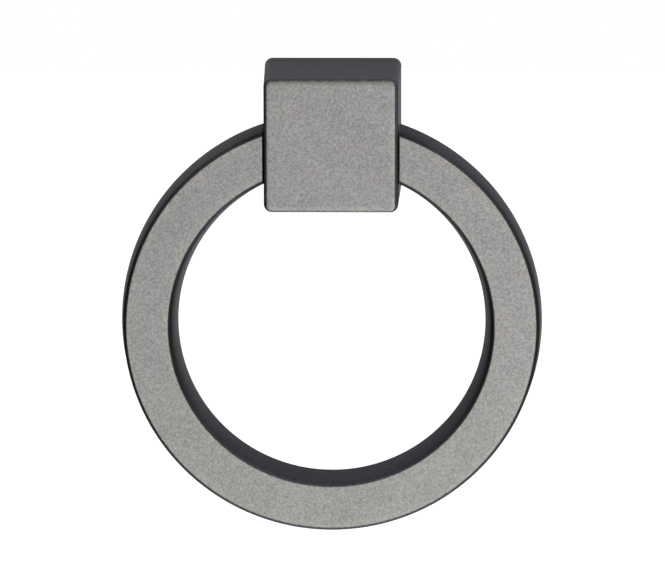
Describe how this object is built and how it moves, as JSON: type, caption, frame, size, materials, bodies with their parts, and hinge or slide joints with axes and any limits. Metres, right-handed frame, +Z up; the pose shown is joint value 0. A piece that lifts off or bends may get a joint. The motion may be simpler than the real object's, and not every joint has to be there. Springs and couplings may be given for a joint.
{
  "type": "ring pull handle",
  "caption": "Drawer and cabinet pull: a square metal block, screwed on from behind, with a flat-faced ring that hangs from a pin across it and swings out to be pulled.",
  "frame": {"origin": "centre of the block's flat back face, on the axis of the fixing hole, where the handle meets the drawer front", "axes": "+X to the right, +Y into the drawer front along the fixing hole, +Z up; the front of the block and the ring face -Y"},
  "size_m": [0.0622, 0.02, 0.0684],
  "materials": {
    "patinated_metal": "dark pewter-toned patina over solid brass, rubbed lighter on the front faces, satin",
    "pin_steel": "plain ground steel"
  },
  "bodies": {
    "block": {"mounting_block": "patinated_metal", "pivot_pin": "pin_steel"},
    "ring": {"pull_ring": "patinated_metal"}
  },
  "joints": [
    {"name": "ring_swing", "type": "hinge", "parent": "block", "child": "ring", "pos_m": [0, -0.0165, -0.002], "axis": [-1, 0, 0], "range_deg": [-13.9, 193.9]}
  ]
}
